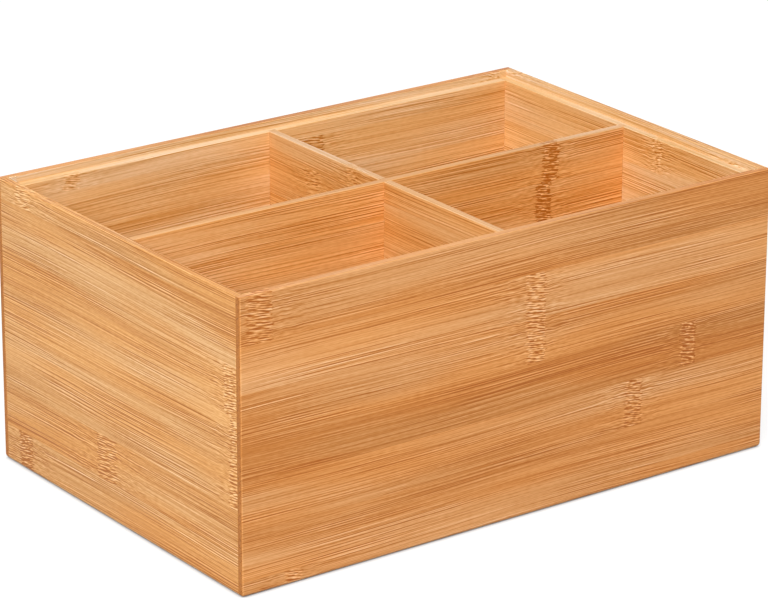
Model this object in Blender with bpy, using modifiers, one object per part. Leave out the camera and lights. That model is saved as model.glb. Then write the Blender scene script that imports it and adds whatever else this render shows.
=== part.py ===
"""Open bamboo storage box: four boards, a base panel held in grooves, and two dividers halved together.

Metres, +Z up. The origin is the middle of the footprint, on the surface that the box stands on.
The length runs along X, and the front board faces -Y.
"""

import math

import bmesh
import bpy
from mathutils import Vector

# Outer size
LENGTH = 0.300
DEPTH = 0.200
HEIGHT = 0.140

# Four boards
WALL = 0.0085
CORNER_LIP = 0.003  # what a long board keeps in front of the short boards' ends
RIM = 0.004  # what the boards keep outside the seat round the mouth
SEAT_DROP = 0.0035  # from the rim down to the seat

# Base panel
PANEL = 0.005
PANEL_RISE = 0.004  # clear height under the panel
GROOVE_REACH = 0.004  # how far the panel's groove goes into the boards

# Two dividers
DIVIDER = 0.0042
HOUSING_REACH = 0.002  # how far the dividers' housings go into the boards

# Fits
JOINT_GAP = 0.0003
OVERRUN = 0.002  # how far blanks and cutters pass the faces that they make

# Rounded edges
CORNER_EASE = 0.0011  # upright outer edges
FOOT_EASE = 0.0018  # outer edges of the foot
RIM_EASE = 0.0006  # outer edges of the rim
MOUTH_EASE = 0.0004  # inner edges of the rim and the seat
DIVIDER_EASE = 0.0004  # top edges of the dividers
EASE_STEPS = 4

# Finish
BOARD_COLOUR = (0.66, 0.36, 0.15, 1.0)
DIVIDER_COLOUR = (0.69, 0.39, 0.17, 1.0)
PANEL_COLOUR = (0.62, 0.33, 0.13, 1.0)
SATIN_ROUGHNESS = 0.45

# Places worked out from the sizes above
HALF_LENGTH = LENGTH / 2
HALF_DEPTH = DEPTH / 2
INNER_X = HALF_LENGTH - WALL
INNER_Y = HALF_DEPTH - WALL
SEAT_Z = HEIGHT - SEAT_DROP
PANEL_TOP = PANEL_RISE + PANEL
DIVIDER_FOOT = PANEL_TOP + JOINT_GAP
LAP_Z = (DIVIDER_FOOT + SEAT_Z) / 2


def new_collection(name):
    """A collection linked to the scene."""
    collection = bpy.data.collections.new(name)
    bpy.context.scene.collection.children.link(collection)
    return collection


def bamboo(name, colour):
    """Lacquered bamboo."""
    material = bpy.data.materials.new(name)
    material.use_nodes = True
    shader = material.node_tree.nodes["Principled BSDF"]
    shader.inputs["Base Color"].default_value = colour
    shader.inputs["Roughness"].default_value = SATIN_ROUGHNESS
    shader.inputs["Metallic"].default_value = 0
    return material


def add_block(name, corner, opposite, collection):
    """A box between two opposite corners, with its origin in its middle."""
    low = Vector(min(pair) for pair in zip(corner, opposite))
    high = Vector(max(pair) for pair in zip(corner, opposite))
    mesh = bpy.data.meshes.new(name)
    box = bmesh.new()
    bmesh.ops.create_cube(box, size=1)
    bmesh.ops.scale(box, vec=high - low, verts=box.verts)
    box.to_mesh(mesh)
    box.free()
    block = bpy.data.objects.new(name, mesh)
    block.location = (low + high) / 2
    collection.objects.link(block)
    return block


def as_cutter(tool):
    """Marks an object as a tool that shapes others and is no part of the box."""
    tool.hide_render = True
    tool.display_type = "WIRE"
    return tool


def ease_edges(block, width, edge_share):
    """Rounds a box's edges. edge_share gives an edge's share of the width from its direction and its middle."""
    mesh = block.data
    weights = mesh.attributes.new("bevel_weight_edge", "FLOAT", "EDGE")
    for edge in mesh.edges:
        start, end = (mesh.vertices[index].co for index in edge.vertices)
        weights.data[edge.index].value = edge_share(end - start, (start + end) / 2)
    bevel = block.modifiers.new("eased_edges", "BEVEL")
    bevel.limit_method = "WEIGHT"
    bevel.width = width
    bevel.segments = EASE_STEPS


def shape(board, tool, operation="DIFFERENCE"):
    """Cuts a board with a tool, or trims the board to it."""
    boolean = board.modifiers.new(tool.name, "BOOLEAN")
    boolean.operation = operation
    boolean.solver = "EXACT"
    boolean.object = tool


def sanded_outline(collection):
    """The outer form of the whole box, which all four boards are trimmed to."""
    low = (-HALF_LENGTH, -HALF_DEPTH, 0)
    high = (HALF_LENGTH, HALF_DEPTH, HEIGHT)
    outline = add_block("sanded_outline", low, high, collection)

    def edge_share(direction, middle):
        if abs(direction.z) > 0:
            return CORNER_EASE / FOOT_EASE
        return RIM_EASE / FOOT_EASE if middle.z > 0 else 1

    ease_edges(outline, FOOT_EASE, edge_share)
    return as_cutter(outline)


def rounded_edge(outset, height, radius):
    """Outsets and heights along a board's rounded inner edge, from its upright face to its level one."""
    points = []
    for step in range(EASE_STEPS + 1):
        turn = math.radians(90) * step / EASE_STEPS
        points.append((outset + radius * (1 - math.cos(turn)), height - radius * (1 - math.sin(turn))))
    return points


def mouth_cutter(collection):
    """The space inside the rim and above the seat.

    It widens in steps on its way up, which leaves the seat's and the rim's inner edges rounded.
    Outsets are measured from the boards' inner faces.
    """
    seat_reach = WALL - RIM
    outline = rounded_edge(0, SEAT_Z, MOUTH_EASE)
    outline.append((seat_reach, SEAT_Z))
    outline += rounded_edge(seat_reach, HEIGHT, MOUTH_EASE)
    outline.append((seat_reach + MOUTH_EASE, HEIGHT + OVERRUN))

    foot = (-INNER_X, -INNER_Y, SEAT_Z - MOUTH_EASE - OVERRUN)
    top = (INNER_X, INNER_Y, SEAT_Z - MOUTH_EASE)
    cutter = add_block("mouth", foot, top, collection)
    steps = bmesh.new()
    steps.from_mesh(cutter.data)
    face = max(steps.faces, key=lambda one: one.calc_center_median().z)
    for outset, height in outline[1:]:
        face = bmesh.ops.extrude_discrete_faces(steps, faces=[face])["faces"][0]
        for corner in face.verts:
            corner.co.x = math.copysign(INNER_X + outset, corner.co.x)
            corner.co.y = math.copysign(INNER_Y + outset, corner.co.y)
            corner.co.z = height - cutter.location.z
    steps.to_mesh(cutter.data)
    steps.free()
    return as_cutter(cutter)


def panel_groove(collection):
    """The groove for the base panel's edges, cut in all four boards at once."""
    half_x, half_y = INNER_X + GROOVE_REACH, INNER_Y + GROOVE_REACH
    low = (-half_x, -half_y, PANEL_RISE - JOINT_GAP)
    high = (half_x, half_y, PANEL_TOP + JOINT_GAP)
    return as_cutter(add_block("panel_groove", low, high, collection))


def housings(name, half_x, half_y, collection):
    """The upright housings for both ends of one divider, from the panel's groove up through the seat."""
    low = (-half_x, -half_y, PANEL_TOP)
    high = (half_x, half_y, SEAT_Z + OVERRUN)
    return as_cutter(add_block(name, low, high, collection))


def corner_rabbet(name, side_x, side_y, collection):
    """The rabbet at one end of a long board, which takes the end of a short board."""
    inner = (side_x * (INNER_X - JOINT_GAP), side_y * (INNER_Y - OVERRUN), -OVERRUN)
    outer = (side_x * (HALF_LENGTH + OVERRUN), side_y * (HALF_DEPTH - CORNER_LIP), HEIGHT + OVERRUN)
    return as_cutter(add_block(name, inner, outer, collection))


def long_board(name, side_y, tools, collection, cutters):
    """The front or back board. It runs the full length and covers the short boards' ends."""
    blank_half = HALF_LENGTH + OVERRUN / 2
    inner = (-blank_half, side_y * INNER_Y, -OVERRUN / 2)
    outer = (blank_half, side_y * (HALF_DEPTH + OVERRUN), HEIGHT + OVERRUN / 2)
    board = add_block(name, inner, outer, collection)
    shape(board, tools["outline"], "INTERSECT")
    for tool in ("mouth", "groove", "crosswise"):
        shape(board, tools[tool])
    shape(board, corner_rabbet(f"{name}_left_rabbet", -1, side_y, cutters))
    shape(board, corner_rabbet(f"{name}_right_rabbet", 1, side_y, cutters))
    return board


def short_board(name, side_x, tools, collection):
    """The left or right board, between the long boards' lips."""
    half_y = HALF_DEPTH - CORNER_LIP - JOINT_GAP
    inner = (side_x * INNER_X, -half_y, -OVERRUN)
    outer = (side_x * (HALF_LENGTH + OVERRUN), half_y, HEIGHT + OVERRUN)
    board = add_block(name, inner, outer, collection)
    shape(board, tools["outline"], "INTERSECT")
    for tool in ("mouth", "groove", "lengthwise"):
        shape(board, tools[tool])
    return board


def base_panel(collection):
    """The bottom, loose in the boards' groove by the joint gap."""
    half_x = INNER_X + GROOVE_REACH - JOINT_GAP
    half_y = INNER_Y + GROOVE_REACH - JOINT_GAP
    return add_block("base_panel", (-half_x, -half_y, PANEL_RISE), (half_x, half_y, PANEL_TOP), collection)


def divider(name, half_x, half_y, slot_low, slot_high, collection, cutters):
    """One divider. Its top edges are rounded, and a slot takes the half of the other one that crosses it."""
    board = add_block(name, (-half_x, -half_y, DIVIDER_FOOT), (half_x, half_y, SEAT_Z), collection)
    along = Vector((1, 0, 0)) if half_x > half_y else Vector((0, 1, 0))

    def edge_share(direction, middle):
        return 1 if abs(direction.dot(along)) > 0 and middle.z > 0 else 0

    ease_edges(board, DIVIDER_EASE, edge_share)
    slot_half = DIVIDER / 2 + JOINT_GAP
    slot = add_block(f"{name}_slot", (-slot_half, -slot_half, slot_low), (slot_half, slot_half, slot_high), cutters)
    shape(board, as_cutter(slot))
    return board


def main():
    """Builds the box."""
    for old in list(bpy.data.objects):
        bpy.data.objects.remove(old, do_unlink=True)
    box = new_collection("storage_box")
    cutters = new_collection("cutters")

    reach_x, reach_y = INNER_X + HOUSING_REACH, INNER_Y + HOUSING_REACH
    housing_half = DIVIDER / 2 + JOINT_GAP
    tools = {
        "outline": sanded_outline(cutters),
        "mouth": mouth_cutter(cutters),
        "groove": panel_groove(cutters),
        "lengthwise": housings("lengthwise_housings", reach_x, housing_half, cutters),
        "crosswise": housings("crosswise_housings", housing_half, reach_y, cutters),
    }
    boards = [
        long_board("front_board", -1, tools, box, cutters),
        long_board("back_board", 1, tools, box, cutters),
        short_board("left_board", -1, tools, box),
        short_board("right_board", 1, tools, box),
    ]

    half_x, half_y, half_thick = reach_x - JOINT_GAP, reach_y - JOINT_GAP, DIVIDER / 2
    under_slot = (DIVIDER_FOOT - OVERRUN, LAP_Z + JOINT_GAP)
    top_slot = (LAP_Z, SEAT_Z + OVERRUN)
    dividers = [
        divider("lengthwise_divider", half_x, half_thick, *under_slot, box, cutters),
        divider("crosswise_divider", half_thick, half_y, *top_slot, box, cutters),
    ]

    finishes = (
        (boards, bamboo("bamboo_boards", BOARD_COLOUR)),
        (dividers, bamboo("bamboo_dividers", DIVIDER_COLOUR)),
        ([base_panel(box)], bamboo("bamboo_panel", PANEL_COLOUR)),
    )
    for pieces, material in finishes:
        for piece in pieces:
            piece.data.materials.append(material)


main()
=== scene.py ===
"""Looks of an open bamboo storage box with two crossing dividers. Metres, +Z up, front board at -Y."""

import math
import random

import bmesh
import bpy
from mathutils import Matrix, Vector


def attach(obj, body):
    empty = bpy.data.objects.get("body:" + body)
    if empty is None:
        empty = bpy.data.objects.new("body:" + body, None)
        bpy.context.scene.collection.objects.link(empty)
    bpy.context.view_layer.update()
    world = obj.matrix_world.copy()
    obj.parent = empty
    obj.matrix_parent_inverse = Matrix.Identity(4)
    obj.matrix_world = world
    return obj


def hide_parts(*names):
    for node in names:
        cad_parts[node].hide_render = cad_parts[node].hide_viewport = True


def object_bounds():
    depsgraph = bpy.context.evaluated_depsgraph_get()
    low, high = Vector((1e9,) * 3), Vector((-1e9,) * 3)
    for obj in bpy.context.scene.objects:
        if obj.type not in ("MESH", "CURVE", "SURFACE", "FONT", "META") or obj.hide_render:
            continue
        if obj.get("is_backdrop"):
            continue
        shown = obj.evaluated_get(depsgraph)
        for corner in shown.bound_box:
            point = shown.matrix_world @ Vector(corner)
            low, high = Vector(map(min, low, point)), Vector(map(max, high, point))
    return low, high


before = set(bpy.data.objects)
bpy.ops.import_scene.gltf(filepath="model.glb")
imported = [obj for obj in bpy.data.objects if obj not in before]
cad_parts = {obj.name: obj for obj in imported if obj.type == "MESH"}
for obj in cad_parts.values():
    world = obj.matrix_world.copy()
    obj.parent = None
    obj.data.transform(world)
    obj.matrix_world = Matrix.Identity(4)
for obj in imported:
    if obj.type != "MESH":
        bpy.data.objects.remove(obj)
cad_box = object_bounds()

# Sizes of the box, the same as in the CAD model
LENGTH, DEPTH, HEIGHT = 0.300, 0.200, 0.140
WALL = 0.0085
CORNER_LIP = 0.003
RIM = 0.004
SEAT_DROP = 0.0035
PANEL = 0.005
PANEL_RISE = 0.004
GROOVE_REACH = 0.004
DIVIDER = 0.0042
HOUSING_REACH = 0.002

# Glued joints show as hairlines here
JOINT = 0.00006
OVERRUN = 0.002  # how far blanks and tools pass the faces that they make

# Rounded edges
CORNER_EASE = 0.0009
FOOT_EASE = 0.0018
RIM_EASE = 0.0004
MOUTH_EASE = 0.0004
DIVIDER_EASE = 0.0004
END_EASE = 0.0005
EASE_STEPS = 8

# Places worked out from the sizes above
HALF_LENGTH, HALF_DEPTH = LENGTH / 2, DEPTH / 2
INNER_X, INNER_Y = HALF_LENGTH - WALL, HALF_DEPTH - WALL
GROOVE_X, GROOVE_Y = INNER_X + GROOVE_REACH, INNER_Y + GROOVE_REACH
HOUSING_X, HOUSING_Y = INNER_X + HOUSING_REACH, INNER_Y + HOUSING_REACH
SLOT_HALF = DIVIDER / 2 + JOINT
SEAT_Z = HEIGHT - SEAT_DROP
PANEL_TOP = PANEL_RISE + PANEL
DIVIDER_FOOT = PANEL_TOP + JOINT
LAP_Z = (DIVIDER_FOOT + SEAT_Z) / 2


# Shapes


def block(name, corner, opposite):
    """A box between two opposite corners, with its mesh in world coordinates."""
    low = Vector(min(pair) for pair in zip(corner, opposite))
    high = Vector(max(pair) for pair in zip(corner, opposite))
    mesh = bpy.data.meshes.new(name)
    box = bmesh.new()
    bmesh.ops.create_cube(box, size=1)
    bmesh.ops.scale(box, vec=high - low, verts=box.verts)
    bmesh.ops.translate(box, vec=(low + high) / 2, verts=box.verts)
    box.to_mesh(mesh)
    box.free()
    made = bpy.data.objects.new(name, mesh)
    bpy.context.scene.collection.objects.link(made)
    return made


def round_edges(made, width_at):
    """Bevels a box. width_at gives an edge's width from its direction and middle."""
    mesh = made.data
    widths = []
    for edge in mesh.edges:
        start, end = (mesh.vertices[index].co for index in edge.vertices)
        widths.append(width_at(end - start, (start + end) / 2))
    widest = max(widths)
    weights = mesh.attributes.new("bevel_weight_edge", "FLOAT", "EDGE")
    for edge, width in zip(mesh.edges, widths):
        weights.data[edge.index].value = width / widest
    bevel = made.modifiers.new("eased", "BEVEL")
    bevel.limit_method = "WEIGHT"
    bevel.width = widest
    bevel.segments = EASE_STEPS


def shape(board, tool, operation="DIFFERENCE"):
    """Adds a Boolean with a tool."""
    boolean = board.modifiers.new(tool.name, "BOOLEAN")
    boolean.operation = operation
    boolean.solver = "EXACT"
    boolean.object = tool


def rounded_edge(outset, height, radius):
    """Outsets and heights along a rounded inner edge."""
    points = []
    for step in range(EASE_STEPS + 1):
        turn = math.radians(90) * step / EASE_STEPS
        points.append((outset + radius * (1 - math.cos(turn)), height - radius * (1 - math.sin(turn))))
    return points


def outline_tool():
    """The sanded outer form."""
    tool = block("outline", (-HALF_LENGTH, -HALF_DEPTH, 0), (HALF_LENGTH, HALF_DEPTH, HEIGHT))

    def width_at(direction, middle):
        if abs(direction.z) > 0:
            return CORNER_EASE
        return RIM_EASE if middle.z > HEIGHT / 2 else FOOT_EASE

    round_edges(tool, width_at)
    return tool


def mouth_tool():
    """The space inside the rim and above the seat."""
    seat_reach = WALL - RIM
    outline = rounded_edge(0, SEAT_Z, MOUTH_EASE)
    outline.append((seat_reach, SEAT_Z))
    outline += rounded_edge(seat_reach, HEIGHT, MOUTH_EASE)
    outline.append((seat_reach + MOUTH_EASE, HEIGHT + OVERRUN))
    low = (-INNER_X, -INNER_Y, SEAT_Z - MOUTH_EASE - OVERRUN)
    tool = block("mouth", low, (INNER_X, INNER_Y, SEAT_Z - MOUTH_EASE))
    steps = bmesh.new()
    steps.from_mesh(tool.data)
    face = max(steps.faces, key=lambda one: one.calc_center_median().z)
    for outset, height in outline[1:]:
        face = bmesh.ops.extrude_discrete_faces(steps, faces=[face])["faces"][0]
        for corner in face.verts:
            corner.co.x = math.copysign(INNER_X + outset, corner.co.x)
            corner.co.y = math.copysign(INNER_Y + outset, corner.co.y)
            corner.co.z = height
    steps.to_mesh(tool.data)
    steps.free()
    return tool


def shared_tools():
    """The tools that shape more than one board, by name."""
    groove_low = (-GROOVE_X, -GROOVE_Y, PANEL_RISE - JOINT)
    groove_high = (GROOVE_X, GROOVE_Y, PANEL_TOP + JOINT)
    top = SEAT_Z + OVERRUN
    return {
        "outline": outline_tool(),
        "mouth": mouth_tool(),
        "groove": block("groove", groove_low, groove_high),
        "x_housing": block("x_housing", (-HOUSING_X, -SLOT_HALF, PANEL_TOP), (HOUSING_X, SLOT_HALF, top)),
        "y_housing": block("y_housing", (-SLOT_HALF, -HOUSING_Y, PANEL_TOP), (SLOT_HALF, HOUSING_Y, top)),
    }


def long_board(name, side, tools):
    """The front or back board, with a rabbet at each end for a short board."""
    half = HALF_LENGTH + OVERRUN / 2
    inner = (-half, side * INNER_Y, -OVERRUN / 2)
    outer = (half, side * (HALF_DEPTH + OVERRUN), HEIGHT + OVERRUN / 2)
    board = block(name + "_raw", inner, outer)
    shape(board, tools["outline"], "INTERSECT")
    for tool in ("mouth", "groove", "y_housing"):
        shape(board, tools[tool])
    for end in (-1, 1):
        near = (end * (INNER_X - JOINT), side * (INNER_Y - OVERRUN), -OVERRUN)
        far = (end * (HALF_LENGTH + OVERRUN), side * (HALF_DEPTH - CORNER_LIP), HEIGHT + OVERRUN)
        rabbet = block(f"{name}_rabbet{end}", near, far)
        tools[rabbet.name] = rabbet
        shape(board, rabbet)
    return board


def short_board(name, side, tools):
    """The left or right board, between the long boards' lips."""
    half = HALF_DEPTH - CORNER_LIP - JOINT
    inner = (side * INNER_X, -half, -OVERRUN / 2)
    board = block(name + "_raw", inner, (side * HALF_LENGTH, half, HEIGHT + OVERRUN / 2))

    def width_at(direction, middle):
        outside = middle.x * side > INNER_X + WALL / 2
        return END_EASE if abs(direction.z) > 0 and outside else 0

    round_edges(board, width_at)
    shape(board, tools["outline"], "INTERSECT")
    for tool in ("mouth", "groove", "x_housing"):
        shape(board, tools[tool])
    return board


def divider(name, along, half_x, half_y, slot_low, slot_high, tools):
    """A divider with rounded top edges and a slot for the other one. along is the axis of its length."""
    board = block(name + "_raw", (-half_x, -half_y, DIVIDER_FOOT), (half_x, half_y, SEAT_Z))

    def width_at(direction, middle):
        return DIVIDER_EASE if abs(direction[along]) > 0 and middle.z > LAP_Z else 0

    round_edges(board, width_at)
    tools[name] = block(name + "_slot", (-SLOT_HALF, -SLOT_HALF, slot_low), (SLOT_HALF, SLOT_HALF, slot_high))
    shape(board, tools[name])
    return board


def baked(made, name):
    """The object's shape with its modifiers applied, shaded smooth over its rounded edges."""
    graph = bpy.context.evaluated_depsgraph_get()
    mesh = bpy.data.meshes.new_from_object(made.evaluated_get(graph))
    clean = bmesh.new()
    clean.from_mesh(mesh)
    bmesh.ops.remove_doubles(clean, verts=clean.verts, dist=1e-6)
    clean.to_mesh(mesh)
    clean.free()
    mesh.name = name
    mesh.shade_smooth()
    mesh.set_sharp_from_angle(angle=math.radians(30))
    piece = bpy.data.objects.new(name, mesh)
    bpy.context.scene.collection.objects.link(piece)
    normals = piece.modifiers.new("face_normals", "WEIGHTED_NORMAL")
    normals.keep_sharp = True
    return piece


def make_pieces():
    """All seven pieces by CAD node name."""
    tools = shared_tools()
    raw = {
        "front_board": long_board("front_board", -1, tools),
        "back_board": long_board("back_board", 1, tools),
        "left_board": short_board("left_board", -1, tools),
        "right_board": short_board("right_board", 1, tools),
    }

    # The lengthwise divider is slotted from below and the crosswise one from above
    end_x, end_y, thick = HOUSING_X - JOINT, HOUSING_Y - JOINT, DIVIDER / 2
    below, above = (DIVIDER_FOOT - OVERRUN, LAP_Z + JOINT), (LAP_Z, SEAT_Z + OVERRUN)
    raw["lengthwise_divider"] = divider("lengthwise_divider", 0, end_x, thick, *below, tools)
    raw["crosswise_divider"] = divider("crosswise_divider", 1, thick, end_y, *above, tools)

    panel_x, panel_y = GROOVE_X - JOINT, GROOVE_Y - JOINT
    low, high = (-panel_x, -panel_y, PANEL_RISE), (panel_x, panel_y, PANEL_TOP)
    raw["base_panel"] = block("base_panel_raw", low, high)

    for tool in tools.values():
        tool.hide_render = True
    bpy.context.view_layer.update()
    pieces = {name: baked(board, name.replace("_", "-")) for name, board in raw.items()}
    for used in [*raw.values(), *tools.values()]:
        bpy.data.objects.remove(used, do_unlink=True)
    return pieces


# Bamboo


class Wiring:
    """Short ways to add and link shader nodes."""

    def __init__(self, tree):
        self.tree = tree

    def put(self, socket, value):
        """Links a socket or sets a value."""
        if isinstance(value, bpy.types.NodeSocket):
            self.tree.links.new(value, socket)
        else:
            socket.default_value = value

    def math(self, operation, *values):
        node = self.tree.nodes.new("ShaderNodeMath")
        node.operation = operation
        for socket, value in zip(node.inputs, values):
            self.put(socket, value)
        return node.outputs[0]

    def total(self, first, *parts):
        """first plus each part, a pair of a value and its strength."""
        for value, strength in parts:
            first = self.math("MULTIPLY_ADD", value, strength, first)
        return first

    def blend(self, first, second, share):
        """first where share is 0, second where it is 1."""
        return self.total(first, (share, self.math("SUBTRACT", second, first)))

    def vector(self, x, y, z=0.0):
        node = self.tree.nodes.new("ShaderNodeCombineXYZ")
        for socket, value in zip(node.inputs, (x, y, z)):
            self.put(socket, value)
        return node.outputs[0]

    def split(self, vector):
        node = self.tree.nodes.new("ShaderNodeSeparateXYZ")
        self.put(node.inputs[0], vector)
        return node.outputs

    def noise(self, rates, along, across, detail=0.0):
        """Noise about zero over two lengths. rates are its changes per unit of each."""
        node = self.tree.nodes.new("ShaderNodeTexNoise")
        node.noise_dimensions = "2D"
        place = (self.math("MULTIPLY", value, rate) for value, rate in zip((along, across), rates))
        self.put(node.inputs["Vector"], self.vector(*place))
        node.inputs["Scale"].default_value = 1
        node.inputs["Detail"].default_value = detail
        return self.math("SUBTRACT", node.outputs[0], 0.5)

    def threads(self, rates, along, across, shift):
        """Thin lines along the grain: noise less the same noise a little to one side."""
        beside = self.noise(rates, along, self.math("ADD", across, shift))
        return self.math("SUBTRACT", self.noise(rates, along, across), beside)

    def ease(self, value, start, end, after=1.0):
        """0 at start, after at end, smooth between."""
        node = self.tree.nodes.new("ShaderNodeMapRange")
        node.interpolation_type = "SMOOTHSTEP"
        self.put(node.inputs["Value"], value)
        node.inputs["From Min"].default_value = start
        node.inputs["From Max"].default_value = end
        node.inputs["To Max"].default_value = after
        return node.outputs[0]

    def zone(self, value, rise, top, fall, end):
        """0 outside rise..end and 1 between top and fall."""
        return self.math("MULTIPLY", self.ease(value, rise, top), self.ease(value, end, fall))

    def stairs(self, value, steps):
        """A value that jumps at each step's start. steps holds (start, value), the lowest first."""
        result = steps[0][1]
        for (_, before), (start, after) in zip(steps, steps[1:]):
            result = self.total(result, (self.math("GREATER_THAN", value, start), after - before))
        return result

    def ramp(self, value, stops):
        node = self.tree.nodes.new("ShaderNodeValToRGB")
        points = node.color_ramp.elements
        while len(points) < len(stops):
            points.new(0.5)
        for point, (place, colour) in zip(points, stops):
            point.position = place
            point.color = (*colour, 1)
        self.put(node.inputs[0], value)
        return node.outputs[0]

    def mix(self, share, first, second, blend="MIX"):
        """Mixes two colours, each a socket or red, green and blue."""
        node = self.tree.nodes.new("ShaderNodeMix")
        node.data_type = "RGBA"
        node.blend_type = blend
        self.put(node.inputs["Factor"], share)
        for socket, colour in ((node.inputs[6], first), (node.inputs[7], second)):
            self.put(socket, (*colour, 1) if isinstance(colour, tuple) else colour)
        return node.outputs[2]

    def tinted(self, colour, tint):
        return self.mix(1.0, colour, tint, "MULTIPLY")


MM = 1000  # millimetres in a metre; the bamboo is worked out in mm

# Colours by brightness level, from the darkest streak to the palest
LONG_COLOURS = (
    (0.0, (0.340, 0.092, 0.007)),
    (0.25, (0.468, 0.170, 0.031)),
    (0.5, (0.615, 0.280, 0.086)),
    (0.75, (0.738, 0.392, 0.160)),
    (1.0, (0.820, 0.512, 0.258)),
)
END_COLOURS = (
    (0.0, (0.212, 0.066, 0.010)),
    (0.5, (0.383, 0.140, 0.027)),
    (1.0, (0.527, 0.230, 0.060)),
)
# Colour of rounded edges: rubbed wear and painted highlight
WORN_AND_HIGHLIGHT_COLOUR = (0.650, 0.370, 0.150)
WARM_TINT, PALE_TINT = (1.0, 0.93, 0.80), (1.0, 1.07, 1.25)
MEAN_LEVEL = 0.5  # brightness level of wood without streaks

# Tint, strength of the grain and strength of the node marks, for each kind of face
FRONT_FACE = (1.005, 0.995, 1.015), 0.88, 1.0
SIDE_FACE = (1.05, 1.195, 1.34), 1.08, 1.0
# Inner faces and dividers are tinted brighter and paler than outer faces: painted light falling into the box
INNER_FACE_PAINTED_LIGHT = (1.225, 1.54, 2.12), 0.7, 0.65
LENGTHWISE_FACE_PAINTED_LIGHT = (1.20, 1.28, 1.36), 0.9, 1.0
CROSSWISE_FACE_PAINTED_LIGHT = (1.08, 1.18, 1.26), 0.75, 0.6

# Tints where the rim was routed and on the dividers' top edges, and how much the grain fades there
# These tints are pale partly as routed wood and partly as a painted highlight of the light from above
SEAT_TINT_AND_HIGHLIGHT = (1.17, 1.74, 3.15)
LENGTHWISE_TOP_TINT_AND_HIGHLIGHT = (1.00, 1.21, 1.72)
CROSSWISE_TOP_TINT_AND_HIGHLIGHT = (1.01, 1.28, 1.95)
MOUTH_FADE = 0.45

# How strongly each kind of streak shows in the brightness level
HAIR, VEIN, NICK, FINE = 0.76, 0.13, 0.12, 0.24
STREAK, PATCH, DRIFT = 0.08, 0.11, 0.23
DASH, NEAR_DASH = 0.16, 0.22  # everywhere, and on top of that beside a node mark
SEAM = 0.05  # how much darker the glue line between two strips is

# Changes of each noise along the grain and across it, both per mm
MEANDER_RATES, CURL_RATES = (0.006, 0.015), (0.16, 0.30)
NICK_RATES, DASH_RATES, BAR_RATES = (0.045, 1.25), (0.30, 1.8), (0.13, 1.15)
PATCH_RATES, BUSY_RATES, RUBBED_AND_HIGHLIT_RATES = (0.022, 0.20), (0.011, 0.10), (0.08, 0.12)
RAGGED_RATES, TORN_RATES = (0.02, 0.55), (0.02, 1.6)

# The same where the length is a run, which counts about one unit in 100 mm and more round a node mark
RUN_RATE, STRIP_RUN_RATE = 0.0105, 0.008
HAIR_RATES, FINE_RATES = (1.15, 1.55), (1.0, 1.0)
DRIFT_RATES, STREAK_RATES, HAZE_RATES = (0.7, 0.06), (0.6, 0.45), (0.9, 0.05)
RUN_BEFORE_MARK, RUN_AFTER_MARK, RUN_IN_MARK = 1.1, 0.8, 2.4

# Widths of the threads, how far fibres leave their straight line and how ragged a mark's edge is, in mm
HAIR_WIDTH, NICK_WIDTH, BAR_WIDTH = 0.38, 0.4, 0.45
MEANDER, CURL, STEP_IN_MARK = 5.0, 1.0, 1.7
RAGGED, TORN = 4.0, 3.5

# What keeps patterns apart: those of two seeds, of two strips, and of the haze and the drift
SEED_SHIFT, STRIP_SHIFT, HAZE_SHIFT = 100, 3.7, 300
THROUGH_RATE = 0.8  # how fast fibres change through the board, where across it is 1

# Brightness of a node mark's parts
MARK_LEVEL, MARK_HAIR = 0.04, 0.4
PALE_BAR, DARK_BAR, END_LINE = 0.20, 0.41, 0.08
MARK_WARMTH = 0.6  # how much of the pale tint a mark takes away

# Cut ends: how near the end of a board they are, in mm, and fibre bundles per mm
END_REACH = 0.6
BUNDLE_RATE = 1.3

# How much a rounded edge is lightened, as rubbed wear and as a painted highlight, and how much that changes
# along it
RUBBED_AND_HIGHLIT, RUBBED_AND_HIGHLIT_SPREAD = 0.15, 0.8

# Roughness of the lacquer, and what fibres, cut ends and rubbed edges add
ROUGHNESS, FIBRE_ROUGHNESS, END_ROUGHNESS, WORN_ROUGHNESS = 0.46, 0.25, 0.15, 0.30

# How strongly the lacquer reflects, and how far the fibres stand out in it
SHINE = 0.25
RELIEF_STRENGTH, RELIEF_HEIGHT = 0.35, 0.00006


def strip_at(w, across, side, layers):
    """The six values of the strip at hand, in the order that the lists of strips have."""
    found = []
    for part in range(6):
        values = [w.stairs(across, [(strip[0], strip[part]) for strip in strips]) for strips, _ in layers]
        found.append(w.blend(*values, side))
    return found


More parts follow.
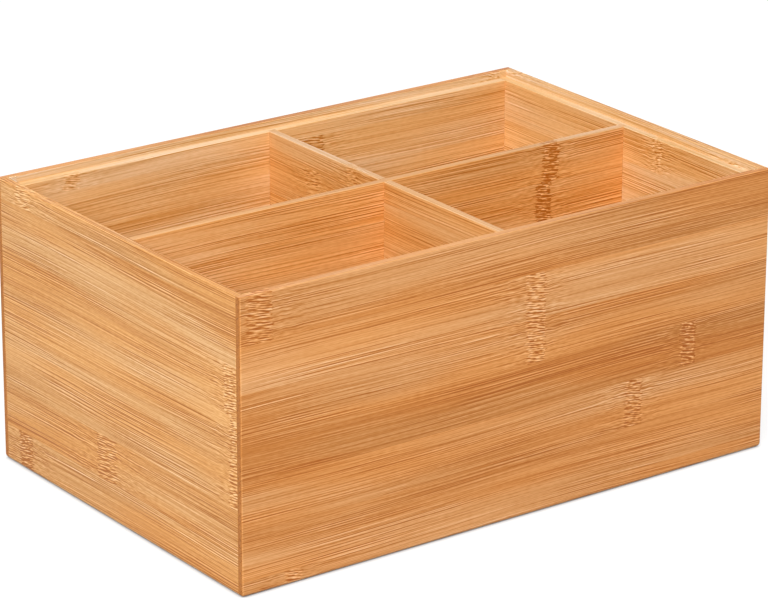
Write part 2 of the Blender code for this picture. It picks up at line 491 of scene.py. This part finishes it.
def grain(w, along, across, through, strip, seed):
    """Brightness of the lines, the wide streaks and the node mark, the finest noise, and the pale haze."""
    start, mark_at, mark_width, mark_strength, mark_shade, _ = strip
    layer = w.total(across, (through, THROUGH_RATE))
    shifted = w.math("ADD", along, seed * SEED_SHIFT)

    # How far past the start of the mark, in widths of the mark, with a ragged edge
    past = w.math("SUBTRACT", along, mark_at)
    past = w.total(past, (w.noise(RAGGED_RATES, shifted, layer, 1.0), RAGGED))
    past = w.total(past, (w.noise(TORN_RATES, shifted, layer), TORN))
    past = w.math("DIVIDE", past, mark_width)
    mark = w.zone(past, -0.10, 0.05, 0.96, 1.0)
    near = w.zone(past, -2.5, -0.1, 1.05, 3.2)

    # Fibres run almost straight, and wander and break up round the mark
    inside = w.math("MINIMUM", w.math("MAXIMUM", past, 0), 1)
    curl = w.math("MULTIPLY", w.noise(CURL_RATES, shifted, layer, 1.0), w.math("SUBTRACT", near, mark))
    meander = w.noise(MEANDER_RATES, shifted, layer)
    fibre = w.total(layer, (meander, MEANDER), (curl, CURL), (inside, STEP_IN_MARK))
    run = w.total(seed, (along, RUN_RATE), (w.ease(past, -2.1, 0.0), RUN_BEFORE_MARK))
    run = w.total(run, (w.ease(past, 0.95, 2.6), RUN_AFTER_MARK), (inside, RUN_IN_MARK))
    own_run = w.total(seed, (along, STRIP_RUN_RATE))
    own_fibre = w.total(fibre, (start, STRIP_SHIFT))

    hair = w.threads(HAIR_RATES, run, fibre, HAIR_WIDTH)
    nick = w.threads(NICK_RATES, shifted, fibre, NICK_WIDTH)
    fine = w.noise(FINE_RATES, run, fibre)
    dash = w.noise(DASH_RATES, shifted, fibre)
    busy = w.ease(w.noise(BUSY_RATES, shifted, fibre, 1.0), -0.16, 0.16, 1.1)

    lines = w.math("MULTIPLY", hair, HAIR)
    lines = w.total(lines, (w.ease(hair, 0.05, 0.16), -VEIN), (w.ease(nick, 0.06, 0.16), -NICK))
    lines = w.math("MULTIPLY", lines, w.math("ADD", busy, 0.5))
    patch = w.noise(PATCH_RATES, shifted, fibre, 1.0)
    lines = w.total(lines, (fine, FINE), (dash, w.total(DASH, (near, NEAR_DASH))), (patch, PATCH))

    wide = w.math("MULTIPLY", w.noise(DRIFT_RATES, own_run, own_fibre), DRIFT)
    wide = w.total(wide, (w.ease(w.noise(STREAK_RATES, own_run, own_fibre), 0.04, 0.22), -STREAK))
    haze = w.noise(HAZE_RATES, own_run, w.math("ADD", own_fibre, HAZE_SHIFT), 1.0)
    haze = w.math("MULTIPLY", w.ease(haze, -0.2, 0.2), w.total(1, (mark, -MARK_WARMTH)))

    # The mark itself is made of short bars, with a dark line near its end
    bar = w.threads(BAR_RATES, shifted, fibre, BAR_WIDTH)
    pale_bar, dark_bar = w.ease(bar, -0.02, -0.12), w.ease(bar, 0.02, 0.12)
    knot = w.total(MARK_LEVEL, (hair, MARK_HAIR), (pale_bar, PALE_BAR), (dark_bar, -DARK_BAR))
    knot = w.total(knot, (w.zone(past, 0.90, 0.95, 0.99, 1.03), -END_LINE))
    knot = w.math("MULTIPLY", w.total(mark_shade, (knot, mark_strength)), mark)
    return lines, wide, knot, fine, haze


def cut_end(w, along, across, through, facing_along, end_from, level, seed):
    """How far this is a cut end, and its colour, with the dots of the fibre bundles."""
    share = w.ease(w.math("ABSOLUTE", facing_along), 0.55, 0.85)
    share = w.math("MULTIPLY", share, w.math("GREATER_THAN", w.math("ABSOLUTE", along), end_from))
    bundles = w.tree.nodes.new("ShaderNodeTexVoronoi")
    w.put(bundles.inputs["Vector"], w.vector(across, through, seed))
    bundles.inputs["Scale"].default_value = BUNDLE_RATE
    dots = w.ease(bundles.outputs["Distance"], 0.42, 0.18)
    return share, w.ramp(w.total(0.42, (level, 0.35), (dots, -0.55)), END_COLOURS)


def worn_and_highlit_edge(w, facing, along, across, through):
    """How far a rounded edge is lightened here, as rubbed wear and as a painted highlight."""
    flatness = 0.0
    for part in facing:
        flatness = w.math("MAXIMUM", w.math("ABSOLUTE", part), flatness)
    edge_noise = w.noise(RUBBED_AND_HIGHLIT_RATES, along, w.math("ADD", across, through), 2.0)
    return w.math("MULTIPLY", w.ease(flatness, 0.995, 0.90), w.total(RUBBED_AND_HIGHLIT, (edge_noise, RUBBED_AND_HIGHLIT_SPREAD)))


def in_mouth(w, place):
    """1 on the routed seat, the rim's inner side and the dividers' top edges."""
    inside = w.ease(place[2], SEAT_Z - MOUTH_EASE, SEAT_Z)
    for value, half in ((place[0], HALF_LENGTH), (place[1], HALF_DEPTH)):
        within = w.math("LESS_THAN", w.math("ABSOLUTE", value), half - RIM + MOUTH_EASE / 4)
        inside = w.math("MULTIPLY", inside, within)
    return inside


def bamboo(name, axes, layers, middle, half_length, seed, mouth_tint_and_highlight=SEAT_TINT_AND_HIGHLIGHT):
    """Laminated bamboo for one piece.

    axes: along the fibres, across them on the wide face, and through the board. layers: the strips and the
    face of the board's two sides, which meet at middle. middle and half_length are in mm.
    """
    material = bpy.data.materials.new(name)
    material.use_nodes = True
    tree = material.node_tree
    shader = tree.nodes["Principled BSDF"]
    w = Wiring(tree)
    place = w.split(tree.nodes.new("ShaderNodeTexCoord").outputs["Object"])
    facing = w.split(tree.nodes.new("ShaderNodeNewGeometry").outputs["Normal"])
    along, across, through = (w.math("MULTIPLY", place[axis], MM) for axis in axes)

    side = w.math("GREATER_THAN", through, middle)
    faces = [face for _, face in layers]
    mouth = in_mouth(w, place)
    remaining = w.total(1, (mouth, -MOUTH_FADE))
    strength, mark_strength = (
        w.math("MULTIPLY", w.blend(faces[0][part], faces[1][part], side), remaining) for part in (1, 2)
    )
    strip = strip_at(w, across, side, layers)
    start, *_, tone = strip
    lines, wide, knot, fine, haze = grain(w, along, across, through, strip, seed)
    seam = w.zone(w.math("SUBTRACT", across, start), -0.1, 0.0, 0.1, 0.35)
    level = w.total(w.math("ADD", tone, MEAN_LEVEL), (lines, strength), (knot, mark_strength))
    level = w.total(level, (wide, 1), (seam, -SEAM))

    colour = w.tinted(w.ramp(level, LONG_COLOURS), w.mix(haze, WARM_TINT, PALE_TINT))
    end_from = half_length - END_REACH
    ending, end_colour = cut_end(w, along, across, through, facing[axes[0]], end_from, level, seed)
    # The seat and top edges take the pale tint with its painted highlight, inner faces their painted light
    tint = w.mix(mouth, w.mix(side, faces[0][0], faces[1][0]), mouth_tint_and_highlight)
    colour = w.tinted(w.mix(ending, colour, end_colour), tint)
    # Rounded edges turn lighter: rubbed wear and a painted highlight
    wear_and_highlight = w.math("MULTIPLY", worn_and_highlit_edge(w, facing, along, across, through), w.math("SUBTRACT", 1, ending))
    w.put(shader.inputs["Base Color"], w.mix(wear_and_highlight, colour, WORN_AND_HIGHLIGHT_COLOUR))

    roughness = w.total(ROUGHNESS, (fine, FIBRE_ROUGHNESS), (ending, END_ROUGHNESS), (wear_and_highlight, WORN_ROUGHNESS))
    w.put(shader.inputs["Roughness"], roughness)
    shader.inputs["Specular IOR Level"].default_value = SHINE
    bump = tree.nodes.new("ShaderNodeBump")
    bump.inputs["Strength"].default_value = RELIEF_STRENGTH
    bump.inputs["Distance"].default_value = RELIEF_HEIGHT
    w.put(bump.inputs["Height"], w.total(lines, (knot, 1)))
    w.put(shader.inputs["Normal"], bump.outputs["Normal"])
    return material


# Axes along the fibres, across them on the wide face, and through the board
LONG_WAY, SHORT_WAY, FLAT_WAY = (0, 2, 1), (1, 2, 0), (0, 1, 2)

OUTER_LAYER = 0.0043  # thickness of a board's outer layer, a little more than the rim's
STRIP, DIVIDER_STRIP = 21.5, 20  # usual widths of a strip
FAR = 900  # place of a node mark that is out of sight, past the board's ends
HIDDEN_MARK = 0.8, 0.08  # strength and shade of a node mark that the photo doesn't show

# Strips that the photo shows, the lowest first: where the strip starts, then the place, width, strength and
# shade of its node mark, then its tone
FRONT_STRIPS = [
    (-20, -127.0, 9, 0.8, 0.08, -0.01),
    (7.0, FAR, 9, 1.0, 0.0, -0.01),
    (29.7, 65.0, 10, 1.05, -0.04, -0.01),
    (52.6, 98.5, 8.5, 1.7, -0.15, -0.16),
    (74.0, 7.0, 10, 1.12, 0.05, -0.02),
    (95.5, 6.5, 10.5, 1.12, 0.06, 0.06),
    (117.2, -146.0, 13, 0.9, 0.02, -0.03),
]
LEFT_STRIPS = [
    (-20, 75.0, 11, 1.5, -0.22, -0.06),
    (18.3, 1.5, 16, 1.1, -0.04, -0.03),
    (40.0, -100.5, 10, 1.0, 0.0, 0.02),
    (61.8, -101.5, 10, 1.0, 0.0, 0.06),
    (83.5, -96.5, 9.5, 1.0, 0.0, 0.03),
    (106.7, FAR, 9, 1.0, 0.0, 0.00),
    (130.7, 71.0, 13, 0.8, 0.06, 0.00),
]
BACK_TOP_STRIPS = [
    (109.0, 17.5, 12.5, 1.5, -0.2, 0.0),
    (129.0, -118.0, 8, 1.0, 0.0, 0.02),
]
# Their node marks are darker partly in their own brown and partly as painted shadow
LENGTHWISE_TOP_STRIPS = [
    (97.5, 88.5, 9, 2.0, -0.38, 0.0),
    (117.5, 92.5, 9, 1.95, -0.36, 0.02),
]


def even_strips(low, high, half_length, seed, width=STRIP):
    """Strips where nothing in particular is known: even widths, node marks anywhere along them."""
    draw = random.Random(seed)
    strips = []
    start = low - draw.uniform(0.2, 0.8) * width
    while start < high:
        mark_at = draw.uniform(-half_length, half_length)
        strips.append((start, mark_at, draw.uniform(7, 12), *HIDDEN_MARK, draw.uniform(-0.04, 0.04)))
        start += width * draw.uniform(0.94, 1.06)
    return strips


def materials():
    """The bamboo of each piece by CAD node name."""
    long_half, short_half = HALF_LENGTH * MM, (HALF_DEPTH - CORNER_LIP) * MM
    meet_x, meet_y = (HALF_LENGTH - OUTER_LAYER) * MM, (HALF_DEPTH - OUTER_LAYER) * MM
    panel_middle = (PANEL_RISE + PANEL_TOP) / 2 * MM

    # Below the strips that are known, the highest even strip is left out, since it can be a sliver
    back_strips = even_strips(0, 108, long_half, 31)[:-1] + BACK_TOP_STRIPS
    lengthwise_strips = even_strips(0, 95, long_half, 21, DIVIDER_STRIP)[:-1] + LENGTHWISE_TOP_STRIPS
    crosswise_strips = even_strips(0, 140, 90, 22, DIVIDER_STRIP)
    panel_strips = even_strips(-100, 100, long_half, 23)

    def hidden(half, seed, face):
        return even_strips(0, 140, half, seed), face

    front = (FRONT_STRIPS, FRONT_FACE), hidden(long_half, 11, INNER_FACE_PAINTED_LIGHT)
    back = (back_strips, INNER_FACE_PAINTED_LIGHT), hidden(long_half, 12, FRONT_FACE)
    left = (LEFT_STRIPS, SIDE_FACE), hidden(short_half, 13, INNER_FACE_PAINTED_LIGHT)
    right = hidden(short_half, 14, INNER_FACE_PAINTED_LIGHT), hidden(short_half, 15, SIDE_FACE)
    lengthwise = ((lengthwise_strips, LENGTHWISE_FACE_PAINTED_LIGHT),) * 2
    crosswise = ((crosswise_strips, CROSSWISE_FACE_PAINTED_LIGHT),) * 2
    panel = ((panel_strips, INNER_FACE_PAINTED_LIGHT),) * 2
    return {
        "front_board": bamboo("front_bamboo", LONG_WAY, front, -meet_y, long_half, 2.3),
        "back_board": bamboo("back_bamboo", LONG_WAY, back, meet_y, long_half, 17.9),
        "left_board": bamboo("left_bamboo", SHORT_WAY, left, -meet_x, short_half, 31.4),
        "right_board": bamboo("right_bamboo", SHORT_WAY, right, meet_x, short_half, 47.2),
        "lengthwise_divider": bamboo(
            "lengthwise_bamboo", LONG_WAY, lengthwise, 0, HOUSING_X * MM, 61.7, LENGTHWISE_TOP_TINT_AND_HIGHLIGHT
        ),
        "crosswise_divider": bamboo(
            "crosswise_bamboo", SHORT_WAY, crosswise, 0, HOUSING_Y * MM, 73.1, CROSSWISE_TOP_TINT_AND_HIGHLIGHT
        ),
        "base_panel": bamboo("panel_bamboo", FLAT_WAY, panel, panel_middle, GROOVE_X * MM, 89.6),
    }


def dress(pieces):
    """Gives each piece its bamboo and ties it to the frame."""
    made = materials()
    for name, piece in pieces.items():
        piece.data.materials.clear()
        piece.data.materials.append(made[name])
        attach(piece, "root")
        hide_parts(name)


# Surroundings

# The photograph's viewpoint, with its angles in degrees
LENS = 189.56
CAMERA_AT = (-1.05466, -1.44003, 0.73588)
TURN, TILT, ROLL = -36.2078, 69.7373, 0.1576

WORLD_LEVEL = 0.14
FLOOR_SIZE = 6
FLOOR_DROP = 0.0001  # keeps the floor clear of the box's foot
FLOOR_GLOW = 0.7
GLOW_STRENGTH = 1.10
BOUNCE_WHITE, SEEN_WHITE = 0.5, 0.9  # the floor's colour for light that it throws back and where it is seen
CONTACT_REACH = 0.004  # how far from the box its contact darkens the floor

# Name, place, size and power of each lamp, all turned to the middle of the box
LAMPS = (
    ("key_lamp", (-1.9, -2.4, 2.2), 2.4, 143),
    ("top_lamp", (-0.3, -0.3, 2.6), 1.6, 23),
    ("side_lamp", (-2.2, -0.5, 2.0), 1.6, 31),
    ("right_lamp", (2.8, -0.3, 1.2), 2.0, 12),
    ("back_lamp", (-0.3, 2.8, 1.2), 2.0, 12),
)
LAMP_AIM = (0, 0, 0.07)


def set_up_camera():
    """The photograph's viewpoint."""
    data = bpy.data.cameras.new("camera")
    data.sensor_width = 36
    data.lens = LENS
    data.clip_start, data.clip_end = 0.05, 20
    camera = bpy.data.objects.new("camera", data)
    pose = Matrix.Translation(CAMERA_AT)
    for angle, axis in ((TURN, "Z"), (TILT, "X"), (ROLL, "Z")):
        pose = pose @ Matrix.Rotation(math.radians(angle), 4, axis)
    camera.matrix_world = pose
    bpy.context.scene.collection.objects.link(camera)
    bpy.context.scene.camera = camera


def seen_directly(w):
    """1 for rays from the camera, in mirrors and through glass, else 0."""
    path = w.tree.nodes.new("ShaderNodeLightPath")
    seen = w.math("MAXIMUM", path.outputs["Is Camera Ray"], path.outputs["Is Glossy Ray"])
    return w.math("MAXIMUM", seen, path.outputs["Is Transmission Ray"])


def set_up_world():
    """A background that is white where it is seen and lights the box only a little."""
    world = bpy.data.worlds.new("white_room")
    bpy.context.scene.world = world
    world.use_nodes = True
    background = world.node_tree.nodes["Background"]
    background.inputs["Color"].default_value = (1, 1, 1, 1)
    w = Wiring(world.node_tree)
    w.put(background.inputs["Strength"], w.blend(WORLD_LEVEL, 1, seen_directly(w)))


def floor_white():
    """Matt white that glows where it is seen, except close to the box, and keeps a faint shadow."""
    material = bpy.data.materials.new("floor_white")
    material.use_nodes = True
    tree = material.node_tree
    matt = tree.nodes["Principled BSDF"]
    matt.inputs["Roughness"].default_value = 0.8
    matt.inputs["Specular IOR Level"].default_value = 0.2
    glow = tree.nodes.new("ShaderNodeEmission")
    glow.inputs["Color"].default_value = (1, 1, 1, 1)
    contact = tree.nodes.new("ShaderNodeAmbientOcclusion")
    contact.inputs["Distance"].default_value = CONTACT_REACH
    both = tree.nodes.new("ShaderNodeMixShader")
    w = Wiring(tree)
    seen = seen_directly(w)
    w.put(matt.inputs["Base Color"], w.blend(BOUNCE_WHITE, SEEN_WHITE, seen))
    # The glow is dimmed near the box: a painted contact shadow
    w.put(glow.inputs["Strength"], w.ease(contact.outputs["AO"], -0.1, 0.95, GLOW_STRENGTH))
    w.put(both.inputs[0], w.math("MULTIPLY", seen, FLOOR_GLOW))
    w.put(both.inputs[1], matt.outputs[0])
    w.put(both.inputs[2], glow.outputs[0])
    w.put(tree.nodes["Material Output"].inputs["Surface"], both.outputs[0])
    return material


def lay_floor():
    """A plain square sheet under the box."""
    mesh = bpy.data.meshes.new("floor")
    sheet = bmesh.new()
    bmesh.ops.create_grid(sheet, x_segments=1, y_segments=1, size=FLOOR_SIZE / 2)
    sheet.to_mesh(mesh)
    sheet.free()
    floor = bpy.data.objects.new("floor", mesh)
    floor.location.z = -FLOOR_DROP
    bpy.context.scene.collection.objects.link(floor)
    mesh.materials.append(floor_white())
    floor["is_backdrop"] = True


def hang_lamps():
    """One large soft lamp from the front left and four weak ones."""
    for name, where, size, power in LAMPS:
        light = bpy.data.lights.new(name, "AREA")
        light.shape = "DISK"
        light.size = size
        light.energy = power
        lamp = bpy.data.objects.new(name, light)
        lamp.location = where
        lamp.rotation_euler = (Vector(LAMP_AIM) - Vector(where)).to_track_quat("-Z", "Y").to_euler()
        bpy.context.scene.collection.objects.link(lamp)


bpy.context.scene.view_settings.view_transform = "Standard"
set_up_camera()
set_up_world()
lay_floor()
hang_lamps()
dress(make_pieces())

boxes = {"cad": cad_box, "visual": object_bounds()}
{name: [list(corner) for corner in box] for name, box in boxes.items()}
